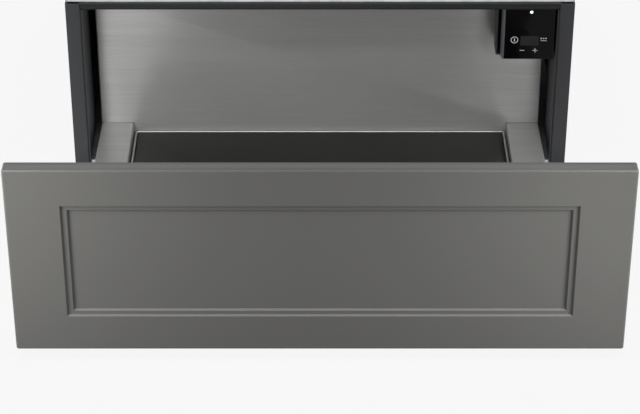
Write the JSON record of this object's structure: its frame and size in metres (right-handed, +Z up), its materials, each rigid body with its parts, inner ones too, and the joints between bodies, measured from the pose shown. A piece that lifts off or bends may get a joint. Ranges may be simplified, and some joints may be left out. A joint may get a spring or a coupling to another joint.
{
  "type": "built-in warming drawer",
  "caption": "Built-in kitchen warming drawer: casing with a touch control unit and a full-width heated drawer on telescopic ball runners behind a panelled front.",
  "frame": {"origin": "bottom centre of the whole appliance with its drawer pulled out, in the plane of the feet", "axes": "+X to the right as seen from the front, +Y from the front towards the back of the cabinet, +Z up"},
  "size_m": [0.757, 1.0296, 0.272],
  "materials": {
    "front_paint": "satin warm grey paint with a fine metallic sheen",
    "stainless": "brushed along the width",
    "galvanised": "plain zinc-coated sheet",
    "anthracite": "fine satin powder coat",
    "zinc_bracket": "plated, matt",
    "runner_steel": "bright zinc plate, drawn lengthwise",
    "bearing_steel": "polished balls in a pressed strip",
    "fastener": "bright",
    "trim_steel": "polished edge",
    "warming_glass": "dark toughened glass, printed underneath",
    "touch_glass": "black, polished",
    "display_glass": "smoked",
    "lamp_lens": "lit white",
    "black_plastic": "fine grain",
    "white_plastic": "smooth",
    "seal_rubber": "matt",
    "foot_rubber": "matt",
    "aluminium_plate": "mill finish",
    "heater_foil": "etched foil",
    "insulation_wool": "pressed mineral wool",
    "sensor_ceramic": "matt",
    "circuit_board": "lacquered",
    "lead_silicone": "smooth",
    "lead_black": "smooth"
  },
  "bodies": {
    "casing": {"runner_outer_left": "runner_steel", "runner_outer_right": "runner_steel", "runner_bracket_left": "zinc_bracket", "runner_bracket_right": "zinc_bracket", "casing_base": "galvanised", "casing_side_left": "anthracite", "casing_side_right": "anthracite", "casing_top": "galvanised", "casing_back": "galvanised", "front_post_left": "anthracite", "front_post_right": "anthracite", "front_rail": "anthracite", "front_seal": "seal_rubber", "casing_screws": "fastener", "feet": "foot_rubber", "control_bracket": "zinc_bracket", "control_housing": "black_plastic", "control_carrier": "black_plastic", "control_board": "circuit_board", "touch_glass": "touch_glass", "display": "display_glass", "status_lamp": "lamp_lens", "power_box": "galvanised", "power_board": "circuit_board", "mains_inlet": "black_plastic", "heater_lead": "lead_silicone", "control_lead": "lead_black", "latch_body": "black_plastic", "latch_spring": "fastener"},
    "drawer": {"drawer_front": "front_paint", "front_inner_panel": "stainless", "front_insulation": "insulation_wool", "front_buffers": "seal_rubber", "front_bracket_left": "zinc_bracket", "front_bracket_right": "zinc_bracket", "drawer_tray": "galvanised", "rim_left": "stainless", "rim_right": "stainless", "back_wall": "stainless", "back_bracket_left": "zinc_bracket", "back_bracket_right": "zinc_bracket", "warming_glass": "warming_glass", "glass_trim": "trim_steel", "heater_plate": "aluminium_plate", "heater_track": "heater_foil", "insulation_mat": "insulation_wool", "temperature_sensor": "sensor_ceramic", "safety_thermostat": "black_plastic", "lead_grommet": "foot_rubber", "drawer_screws": "fastener", "runner_inner_left": "runner_steel", "runner_inner_right": "runner_steel"},
    "runner_middle_left": {"runner_middle_left": "runner_steel"},
    "runner_middle_right": {"runner_middle_right": "runner_steel"},
    "inner_cage_left": {"inner_ball_cage_left": "bearing_steel"},
    "inner_cage_right": {"inner_ball_cage_right": "bearing_steel"},
    "outer_cage_left": {"outer_ball_cage_left": "bearing_steel"},
    "outer_cage_right": {"outer_ball_cage_right": "bearing_steel"},
    "push_button": {"latch_plunger": "white_plastic"}
  },
  "joints": [
    {"name": "drawer_slide", "type": "slide", "parent": "casing", "child": "drawer", "axis": [0, 1, 0], "range_m": [0, 0.445]},
    {"name": "runner_middle_left_slide", "type": "slide", "parent": "casing", "child": "runner_middle_left", "axis": [0, 1, 0], "range_m": [0, 0.2225]},
    {"name": "inner_cage_left_slide", "type": "slide", "parent": "casing", "child": "inner_cage_left", "axis": [0, 1, 0], "range_m": [0, 0.33375]},
    {"name": "outer_cage_left_slide", "type": "slide", "parent": "casing", "child": "outer_cage_left", "axis": [0, 1, 0], "range_m": [0, 0.11125]},
    {"name": "runner_middle_right_slide", "type": "slide", "parent": "casing", "child": "runner_middle_right", "axis": [0, 1, 0], "range_m": [0, 0.2225]},
    {"name": "inner_cage_right_slide", "type": "slide", "parent": "casing", "child": "inner_cage_right", "axis": [0, 1, 0], "range_m": [0, 0.33375]},
    {"name": "outer_cage_right_slide", "type": "slide", "parent": "casing", "child": "outer_cage_right", "axis": [0, 1, 0], "range_m": [0, 0.11125]},
    {"name": "push_button_travel", "type": "slide", "parent": "casing", "child": "push_button", "axis": [0, 1, 0], "range_m": [0, 0.006], "stiffness_N_per_m": 400, "springref_m": -0.002}
  ],
  "couplings": [
    {"joint": "runner_middle_left_slide", "follows": "drawer_slide", "ratio": 0.5},
    {"joint": "inner_cage_left_slide", "follows": "drawer_slide", "ratio": 0.75},
    {"joint": "outer_cage_left_slide", "follows": "drawer_slide", "ratio": 0.25},
    {"joint": "runner_middle_right_slide", "follows": "drawer_slide", "ratio": 0.5},
    {"joint": "inner_cage_right_slide", "follows": "drawer_slide", "ratio": 0.75},
    {"joint": "outer_cage_right_slide", "follows": "drawer_slide", "ratio": 0.25}
  ]
}
